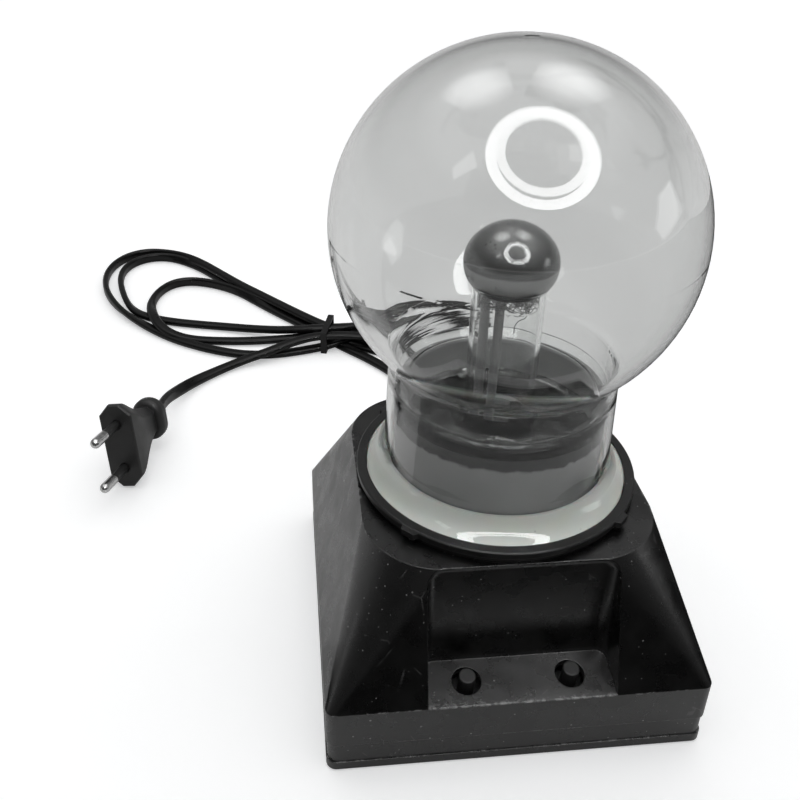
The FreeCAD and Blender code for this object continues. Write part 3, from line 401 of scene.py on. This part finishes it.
# The lead's route in millimetres: x, y, z and how flat it lies, from 0 on edge to 1 flat.
LEAD_ROUTE = [
    # out of the strain relief and down to the floor
    (0, 76.6, 16.5, 1), (0, 89, 16.5, 1), (-0.5, 105, 11.5, 1), (-1.5, 121, 5.0, 1),
    (-5, 138.5, 2.2, 1), (-13, 155, 1.8, 1), (-24, 169, 1.8, 1), (-33.5, 179, 1.8, 1),
    # inner left loop
    (-40.5, 187, 1.8, 1), (-47.5, 196, 1.8, 1), (-55, 205.5, 1.8, 1), (-64, 215.5, 1.8, 1),
    (-72, 225, 1.9, 0.9), (-81, 236, 2.3, 0.5), (-89, 245, 2.7, 0.2), (-98, 252.5, 2.8, 0),
    (-109, 259, 2.8, 0), (-120, 262, 2.8, 0), (-129.5, 258.5, 2.8, 0), (-135.8, 248, 2.8, 0),
    (-137.8, 236, 3.1, 0.2), (-137, 226, 4.4, 0.7), (-135, 217, 5.1, 1), (-131.5, 207.5, 5.0, 1),
    (-126, 200, 3.8, 1), (-118, 195.5, 2.4, 1), (-109, 193, 1.8, 1), (-95, 191, 1.8, 1),
    (-80, 190, 1.9, 1), (-66, 189.3, 2.8, 1), (-54, 188, 4.3, 1), (-43, 187, 5.0, 1),
    # outer right loop
    (-33, 189.5, 5.0, 1), (-24.5, 195, 4.8, 0.8), (-17, 203, 3.9, 0.4), (-9, 211, 3.0, 0.1),
    (0, 216.8, 2.8, 0), (10, 218, 2.8, 0), (21, 213.8, 2.8, 0), (30.3, 204.5, 2.8, 0),
    (34.4, 192.5, 2.8, 0), (31, 181.3, 2.8, 0), (22, 174, 2.8, 0), (9, 170.7, 2.8, 0),
    (-4, 170.6, 2.8, 0.1), (-16, 173.4, 2.3, 0.6), (-27, 180.5, 1.9, 1), (-36, 188, 1.8, 1),
    # middle left loop
    (-44.5, 197, 1.8, 1), (-54, 208, 1.8, 1), (-64, 219.5, 1.8, 1), (-77, 234.5, 1.8, 1),
    (-90, 249, 1.8, 1), (-102, 265, 1.8, 1), (-113, 280, 2.0, 0.9), (-124, 290.5, 2.6, 0.4),
    (-135, 296.8, 2.8, 0), (-146, 297, 2.8, 0), (-155, 290.5, 2.8, 0), (-159.8, 279, 2.8, 0),
    (-159.6, 265, 2.8, 0), (-156, 250, 2.8, 0), (-151, 235.5, 2.7, 0.3), (-145.5, 226, 2.2, 0.8),
    (-137, 219.5, 1.8, 1), (-125, 214.3, 1.8, 1), (-110, 210, 1.8, 1), (-95, 206, 2.0, 1),
    (-81, 200.8, 3.0, 1), (-66, 194, 5.4, 1), (-53, 190.3, 7.7, 1), (-42, 189.6, 8.3, 1),
    # middle right loop
    (-31, 191, 7.6, 1), (-22, 195.8, 6.0, 0.8), (-14, 202, 4.4, 0.4), (-6.5, 208.5, 3.3, 0.1),
    (1.5, 213.2, 2.8, 0), (10, 214.2, 2.8, 0), (19, 210.5, 2.8, 0), (27, 202.4, 2.8, 0),
    (30.6, 192.5, 2.8, 0), (27.7, 183.3, 2.8, 0), (20, 177.4, 2.8, 0), (9, 174.3, 2.8, 0),
    (-4, 174.2, 2.9, 0.1), (-15.5, 177, 3.4, 0.6), (-26, 183.5, 4.7, 1), (-35, 190.4, 5.1, 1),
    # outer left loop
    (-44.5, 198.6, 5.1, 1), (-54, 208.6, 5.1, 1), (-64, 220, 5.1, 1), (-77, 235.3, 5.1, 1),
    (-90, 250.3, 5.1, 1), (-103, 267.5, 5.1, 1), (-114, 282.5, 4.7, 0.9), (-125.5, 295, 3.6, 0.4),
    (-138, 303, 2.8, 0), (-150, 304.6, 2.8, 0), (-160.5, 298.3, 2.8, 0), (-167, 286, 2.8, 0),
    (-168.8, 270, 2.8, 0), (-165.7, 253, 2.8, 0), (-158.8, 236.5, 2.8, 0.1),
    (-149.5, 222.5, 2.7, 0.5), (-137.5, 209.5, 2.1, 0.9), (-124, 197, 1.8, 1), (-111, 188, 1.8, 1),
    (-97, 180.6, 1.8, 1), (-84, 176.2, 1.8, 1), (-70, 175.6, 1.8, 1), (-56, 178.3, 1.8, 1),
    (-43, 181.5, 2.2, 1),
    # inner right loop
    (-32, 185.5, 4.3, 1), (-23.5, 191, 5.0, 0.8), (-15, 198, 4.3, 0.4), (-6.5, 204.5, 3.2, 0.1),
    (1.8, 209.2, 2.8, 0), (10, 210.6, 2.8, 0), (17.3, 207.2, 2.8, 0), (23.7, 200.6, 2.8, 0),
    (26.9, 192.6, 2.8, 0), (24.5, 185.8, 2.8, 0), (18, 181, 2.8, 0), (8, 178.2, 3.3, 0),
    (-4, 177.4, 5.0, 0.4), (-15.5, 177.8, 7.2, 0.9), (-27, 179.6, 8.3, 1), (-38, 181.6, 8.3, 1),
    # over the bundle and out to the plug
    (-50, 181.2, 8.2, 1), (-61, 178.3, 7.0, 1), (-73, 173.2, 4.9, 1), (-85, 169.8, 2.8, 1),
    (-97, 162.5, 1.9, 1), (-108, 151.5, 2.9, 0.7), (-115, 139, 5.4, 0.3), (-119.1, 127, 8.8, 0),
    (-120, 116.5, 10.6, 0),
]


def bent_wires(name, lines):
    """Open NURBS curves through the given lines of control points, in millimetres, as one piece
    on the base. The section is in millimetres too, because each point's radius is MM."""
    data = bpy.data.curves.new(name, "CURVE")
    data.dimensions = "3D"
    data.use_fill_caps = True
    for line in lines:
        spline = data.splines.new("NURBS")
        spline.points.add(len(line) - 1)
        for place, point in zip(spline.points, line):
            place.co = (*mm(*point), 1.0)
            place.radius = MM
        spline.order_u = 3
        spline.use_endpoint_u = True
    wires = bpy.data.objects.new(name, data)
    scene.collection.objects.link(wires)
    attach(wires, "base")
    return wires


def make_lead():
    """The flat lead on one curve, from the strain relief through its hank to the plug."""
    lead = bent_wires("mains_lead", [[point[:3] for point in LEAD_ROUTE]])
    for place, (x, y, z, flat) in zip(lead.data.splines[0].points, LEAD_ROUTE):
        place.tilt = flat * FLAT
    lead.data.twist_mode = "Z_UP"
    lead.data.resolution_u = 10
    lead.data.bevel_depth = LEAD_THICK / 2
    lead.data.extrude = (LEAD_WIDE - LEAD_THICK) / 2
    lead.data.bevel_resolution = 5
    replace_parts(lead, "mains_cord_base", "cord_hank", "mains_cord_plug")
    lead.data.materials.append(LOOKS["cord_black"])


# ---------------------------------------------------------------- electrode

# In millimetres: the stem's glass, the two arcs of its flattened ball, and the film inside;
# then how far from a corner its shading is held, and the facets of a turned piece.
STEM_WALL = 1.1
TUBE_RADIUS = 10.3
BALL_MIDDLE = 131.5
CROWN_RADIUS = 14.0
SIDE_RADIUS = 10.0
SIDE_AT = 3.2
FILM_INSET = 1.07
FILM_THICK = 0.25
FILM_LOW = 125.6
CORNER_HOLD = 0.08
LATHE_STEPS = 144

# The stem's foot, out to its rim and back inside, as corners for outline().
STEM_FOOT = [
    (TUBE_RADIUS, 84.0, 4.5, -1), (14.8, 79.5), (23.8, 79.5, 3.9, -1), (27.7, 83.4),
    (27.7, 92.2), (31.05, 94.6), (31.45, 94.0), (28.8, 91.6), (28.8, 83.4, 5.0, 1),
    (23.8, 78.4), (14.8, 78.4, 5.6, 1), (TUBE_RADIUS - STEM_WALL, 84.0),
]


def arc(start, end, radius, side, steps=14):
    """Points from start towards end in the (radius, z) plane, with the centre on the right if
    side is 1 or on the left if it is -1; the end itself is left out."""
    start, end = Vector(start), Vector(end)
    chord = end - start
    right = Vector((chord.y, -chord.x)).normalized()
    centre = (start + end) / 2 + right * side * math.sqrt(radius ** 2 - chord.length_squared / 4)
    first, last = start - centre, end - centre
    sweep = math.atan2(first.cross(last), first.dot(last))
    return [centre + Matrix.Rotation(sweep * i / steps, 2) @ first for i in range(steps)]


def outline(corners):
    """A profile from (radius, z) corners; one with (arc radius, side) behind it starts an arc.
    Straight runs get a point near each end, so that smooth shading stays at the corners."""
    points = []
    for i, corner in enumerate(corners):
        if len(corner) == 4:
            points += arc(corner[:2], corners[i + 1][:2], *corner[2:])
        else:
            points.append(Vector(corner))
    held = [points[0]]
    for start, end in zip(points, points[1:]):
        if (end - start).length > 1.0:
            step = (end - start).normalized() * CORNER_HOLD
            held += [start + step, end - step]
        held.append(end)
    return held


def lathe(name, profile, steps, look, wobble=None):
    """Smooth surface of revolution about z; a profile end on the axis closes in one point."""
    points, faces, rows = [], [], []
    for row, (radius, z) in enumerate(profile):
        count = 1 if radius < 0.001 else steps
        rows.append([len(points) + i % count for i in range(steps)])
        for i in range(count):
            turn = 2 * math.pi * i / steps
            out = radius + (wobble(row, turn) if wobble else 0.0)
            points.append(mm(out * math.cos(turn), out * math.sin(turn), z))
    for low, high in zip(rows, rows[1:]):
        for i in range(steps):
            ring = (low[i], low[i - 1], high[i - 1], high[i])
            faces.append(tuple(dict.fromkeys(ring)))
    mesh = bpy.data.meshes.new(name)
    mesh.from_pydata(points, [], faces)
    mesh.shade_smooth()
    mesh.materials.append(LOOKS[look])
    piece = bpy.data.objects.new(name, mesh)
    scene.collection.objects.link(piece)
    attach(piece, "base")
    return piece


def ball_outline(inset, upward=False):
    """The flattened ball in two tangent arcs, set in from its outer face, as corners for
    outline() from its top to the tube, or from the tube to its top if upward."""
    crown, side, tube = CROWN_RADIUS - inset, SIDE_RADIUS - inset, TUBE_RADIUS - inset
    apart = CROWN_RADIUS - SIDE_RADIUS
    drop = math.sqrt(apart ** 2 - SIDE_AT ** 2)
    top = (0.0, BALL_MIDDLE - drop + crown)
    meet = (SIDE_AT + side * SIDE_AT / apart, BALL_MIDDLE + side * drop / apart)
    foot = (tube, BALL_MIDDLE - math.sqrt(side ** 2 - (tube - SIDE_AT) ** 2))
    if upward:
        return [foot + (side, -1), meet + (crown, -1), top]
    return [top + (crown, 1), meet + (side, 1), foot]


def make_stem():
    """The stem's glass drawn finely enough for clean reflections, and the film in its ball. The
    film lies just inside the glass, as a baked coating does, so that the glass magnifies it."""
    glass = outline(ball_outline(0.0) + STEM_FOOT + ball_outline(STEM_WALL, upward=True))
    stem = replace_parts(lathe("stem_glass_fine", glass, LATHE_STEPS, "clear_glass"), "stem_glass")
    stem.visible_shadow = False
    film = [[point for point in outline(ball_outline(inset)) if point.y > FILM_LOW]
            for inset in (FILM_INSET, FILM_INSET + FILM_THICK)]
    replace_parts(lathe("electrode_film", film[0] + film[1][::-1], LATHE_STEPS, "coating"),
                "electrode_coating")


# ---------------------------------------------------------------- steel wool

# In millimetres: the loose fibres, the one that hangs down, and the wad above them.
WOOL_FIBRES = 340
FIBRE_RADIUS = 0.09
WOOL_RADIUS = 8.5
WOOL_LOW = 119.4
WOOL_MOST = 121.2
WOOL_HIGH = 124.5
STRAY_RADIUS = 0.11
STRAY = [(3.3, -5.6, 122.4), (3.5, -5.6, 120.6), (3.9, -5.6, 118.4), (3.8, -5.6, 117.2),
         (2.0, -5.8, 116.9), (1.2, -5.8, 115.8), (0.9, -5.6, 114.6), (0.9, -5.6, 112.6)]
WAD_INSET = 1.35
WAD_TOP = 127.0
WAD_TOP_RADIUS = 9.5
WAD_FOOT = [(8.9, 124.2), (8.7, 123.7), (8.0, 123.4), (4.0, 123.3), (0.0, 123.3)]
WAD_STEPS = 96
RAGGED = 0.3


def wool_fibre(draw):
    """One curled strand that starts inside the wad and wanders, as points in millimetres."""
    angle = draw.uniform(0, 2 * math.pi)
    radius = WOOL_RADIUS * math.sqrt(draw.uniform(0.05, 0.92))
    at = Vector((radius * math.cos(angle), radius * math.sin(angle),
                 draw.triangular(WOOL_LOW, WOOL_HIGH, WOOL_MOST)))
    heading = Vector((draw.uniform(-1, 1), draw.uniform(-1, 1), draw.uniform(-0.5, 0.5)))
    points = []
    for i in range(draw.randint(6, 11)):
        points.append(at.copy())
        heading += Vector((draw.uniform(-1.2, 1.2), draw.uniform(-1.2, 1.2),
                           draw.uniform(-1.0, 0.9)))
        at += heading.normalized() * draw.uniform(0.5, 1.3)
        reach = math.hypot(at.x, at.y)
        if reach > WOOL_RADIUS:
            at.x *= WOOL_RADIUS / reach
            at.y *= WOOL_RADIUS / reach
        at.z = min(max(at.z, WOOL_LOW), WOOL_HIGH)
    return points


def strands(name, lines, radius):
    """Round wires of steel wool along the given lines, in millimetres, as one piece."""
    wires = bent_wires(name, lines)
    wires.data.bevel_depth = radius
    wires.data.bevel_resolution = 1
    wires.data.resolution_u = 3
    wires.data.materials.append(LOOKS["steel_wool"])
    return wires


def make_wool_core():
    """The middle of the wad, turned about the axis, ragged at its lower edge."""
    draw = random.Random(3)
    waves = [(draw.randint(3, 23), draw.uniform(0, 6.28), draw.uniform(0.03, 0.09))
             for i in range(9)]

    def wobble(row, turn):
        return RAGGED * sum(size * math.sin(count * turn + shift + row)
                            for count, shift, size in waves)

    wall = [point for point in outline(ball_outline(WAD_INSET)) if point.y < WAD_TOP]
    profile = [(0.0, WAD_TOP), (WAD_TOP_RADIUS, WAD_TOP)] + wall + WAD_FOOT
    lathe("wool_core", profile, WAD_STEPS, "steel_wool", wobble)


def make_wool():
    """The loose fibres under the wad, and the one that hangs down inside the tube."""
    draw = random.Random(7)
    fibres = strands("wool_fibres", [wool_fibre(draw) for i in range(WOOL_FIBRES)],
                     FIBRE_RADIUS)
    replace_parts(fibres, "steel_wool")
    strands("wool_stray", [STRAY], STRAY_RADIUS)


# ---------------------------------------------------------------- light, floor

# The plane of the ring lamps over the front: its middle in metres, and its two directions.
LAMP_CENTRE = Vector((0.03725, -0.15623, 0.48589))
LAMP_ACROSS = Vector((0.9942, 0.0, -0.1075))
LAMP_UP = Vector((0.0442, 0.9116, 0.4087))

# Glowing panels round the table, in metres: name, brightness, corners.
PANELS = [
    ("softbox_left", 3.4, [(-0.449, 0.557, 0.783), (0.018, 0.61, 0.878), (-0.042, 0.15, 1.084),
                           (-0.382, 0.075, 1.033)]),
    ("softbox_right", 3.2, [(0.234, 0.583, 0.838), (0.026, 0.173, 1.124), (0.345, -0.066, 1.088),
                            (0.614, 0.325, 0.784), (0.455, 0.534, 0.76)]),
    ("window_right", 1.6, [(1.435, -0.53, 0.308), (1.427, -0.295, 0.583), (1.474, 0.056, 0.569),
                           (1.521, 0.055, 0.235), (1.475, -0.417, 0.133)]),
    ("window_left", 1.6, [(-0.886, 0.056, -0.018), (-0.912, -0.047, 0.131),
                          (-0.894, -0.151, 0.033), (-0.864, 0.002, -0.144)]),
    ("lamp_far_left", 1.8, [(-1.023, -0.387, 1.18), (-0.748, -0.362, 1.413),
                            (-0.76, -0.602, 1.306), (-1.054, -0.531, 1.096)]),
    ("lamp_far_right", 1.5, [(0.465, -0.519, 1.478), (0.654, -0.478, 1.412),
                             (0.642, -0.696, 1.316), (0.447, -0.742, 1.382)]),
]

# Where a softbox starts to fade and where it ends, in metres from its middle.
SOFTBOX_FADE = (0.05, 0.36)

# The sky's brightness by height, from 0 straight down to 1 straight up, and the backdrop's.
SKY = [(0.0, 0.55), (0.10, 0.48), (0.26, 0.17), (0.60, 0.16), (0.76, 0.62), (1.0, 0.85)]
BACKDROP = 0.9


def glow(name, points, faces, strength, fade=None):
    """A panel that is seen only as a reflection. If fade is given, its brightness falls to
    nothing between those two distances from its middle, in metres."""
    mesh = bpy.data.meshes.new(name)
    mesh.from_pydata(points, [], faces)
    panel = bpy.data.objects.new(name, mesh)
    scene.collection.objects.link(panel)
    material = bpy.data.materials.new(name)
    material.use_nodes = True
    tree = material.node_tree
    tree.nodes.remove(tree.nodes["Principled BSDF"])
    lamp = tree.nodes.new("ShaderNodeEmission")
    lamp.inputs["Strength"].default_value = strength
    if fade:
        place = add_node(tree, "ShaderNodeTexCoord").outputs["Object"]
        middle = sum((Vector(point) for point in points), Vector()) / len(points)
        away = add_node(tree, "ShaderNodeVectorMath", {0: place, 1: middle},
                        operation="DISTANCE").outputs["Value"]
        fall = add_node(tree, "ShaderNodeMapRange", {
            "Value": away, "From Min": fade[0], "From Max": fade[1], "To Min": strength,
            "To Max": 0.0}, interpolation_type="SMOOTHSTEP")
        tree.links.new(fall.outputs[0], lamp.inputs["Strength"])
    tree.links.new(lamp.outputs[0], tree.nodes["Material Output"].inputs[0])
    mesh.materials.append(material)
    panel.visible_camera = False
    panel.visible_diffuse = False
    panel.visible_shadow = False
    return panel


def ring_of_light(name, across, up, inner, outer, strength):
    """A ring lamp in the lamps' plane, with its place and its radii in millimetres."""
    steps = 96
    middle = LAMP_CENTRE + LAMP_ACROSS * across * MM + LAMP_UP * up * MM
    points = []
    for radius in (inner, outer):
        for i in range(steps):
            turn = 2 * math.pi * i / steps
            points.append(middle + (LAMP_ACROSS * math.cos(turn) + LAMP_UP * math.sin(turn))
                          * radius * MM)
    faces = [(i, (i + 1) % steps, steps + (i + 1) % steps, steps + i) for i in range(steps)]
    glow(name, points, faces, strength)


def make_flag():
    """Dark cards on the table in front and beside, seen only in reflections, that keep the
    front and the throat black."""
    z = 0.0006
    # Each card's left, near, right and far edge, in metres.
    cards = [(-4.0, -4.0, 4.0, -0.082), (-4.0, -0.082, -0.08, 0.0), (0.08, -0.082, 4.0, 0.5)]
    points = []
    for left, near, right, far in cards:
        points += [(left, near, z), (right, near, z), (right, far, z), (left, far, z)]
    faces = [tuple(range(4 * i, 4 * i + 4)) for i in range(len(cards))]
    glow("front_flag", points, faces, 0.015).visible_transmission = False


def make_world():
    """Dim at the horizon, most of all in front, and bright overhead; pale when seen directly."""
    world = bpy.data.worlds.new("studio")
    scene.world = world
    world.use_nodes = True
    tree = world.node_tree
    place = add_node(tree, "ShaderNodeTexCoord").outputs["Generated"]
    axes = add_node(tree, "ShaderNodeSeparateXYZ", {0: place}).outputs
    sky = add_node(tree, "ShaderNodeValToRGB", {0: axes["Z"]})
    for i, (height, level) in enumerate(SKY):
        stop = sky.color_ramp.elements[i] if i < 2 else sky.color_ramp.elements.new(height)
        stop.position = height
        stop.color = (level, level, level, 1)
    front = add_node(tree, "ShaderNodeMapRange", {
        "Value": axes["Y"], "From Min": -0.75, "From Max": 0.25, "To Min": 0.3, "To Max": 1.0})
    both = add_node(tree, "ShaderNodeMath", {0: sky.outputs[0], 1: front.outputs[0]},
                    operation="MULTIPLY")
    seen = add_node(tree, "ShaderNodeLightPath").outputs["Is Camera Ray"]
    backdrop = add_node(tree, "ShaderNodeMath", {0: seen, 1: BACKDROP}, operation="MULTIPLY")
    brightest = add_node(tree, "ShaderNodeMath", {0: both.outputs[0], 1: backdrop.outputs[0]},
                         operation="MAXIMUM")
    tree.links.new(brightest.outputs[0], tree.nodes["Background"].inputs["Color"])


def make_floor():
    """Pale matt table that looks white straight on and pale grey through the glass."""
    mesh = bpy.data.meshes.new("floor")
    half = 6.0
    mesh.from_pydata([(-half, -half, 0), (half, -half, 0), (half, half, 0), (-half, half, 0)],
                     [], [(0, 1, 2, 3)])
    floor = bpy.data.objects.new("floor", mesh)
    scene.collection.objects.link(floor)
    look = Look("floor", Roughness=0.9, Emission_Color=(0.98, 0.99, 1.0))
    look.feed("Base Color", look.mix(look.noise(6.0), grey(0.76), grey(0.80)))
    seen = look.node("ShaderNodeLightPath").outputs["Is Camera Ray"]
    look.feed("Emission Strength", look.math("MULTIPLY", seen, 0.42))
    mesh.materials.append(look.material)


def make_sun():
    """Soft light from overhead that shows in no reflection."""
    data = bpy.data.lights.new("overhead", "SUN")
    data.energy = 1.4
    data.angle = math.radians(120)
    sun = bpy.data.objects.new("overhead", data)
    sun.rotation_euler = (math.radians(-12), math.radians(8), 0)
    sun.visible_glossy = False
    sun.visible_transmission = False
    scene.collection.objects.link(sun)


make_camera()
make_lead()
dress_nodes()
fold_springs()
make_stem()
make_wool_core()
make_wool()
make_world()
make_floor()
make_sun()
ring_of_light("ring_lamp", across=-15.5, up=-47.0, inner=162.0, outer=209.0, strength=7.0)
ring_of_light("ring_lamp_inner", across=-11.5, up=-29.0, inner=130.0, outer=166.0, strength=6.0)
for name, strength, corners in PANELS:
    glow(name, corners, [tuple(range(len(corners)))], strength,
         SOFTBOX_FADE if "softbox" in name else None)
make_flag()
scene.cycles.max_bounces = 20
scene.cycles.transmission_bounces = 20
scene.cycles.transparent_max_bounces = 16
scene.view_settings.view_transform = "Standard"
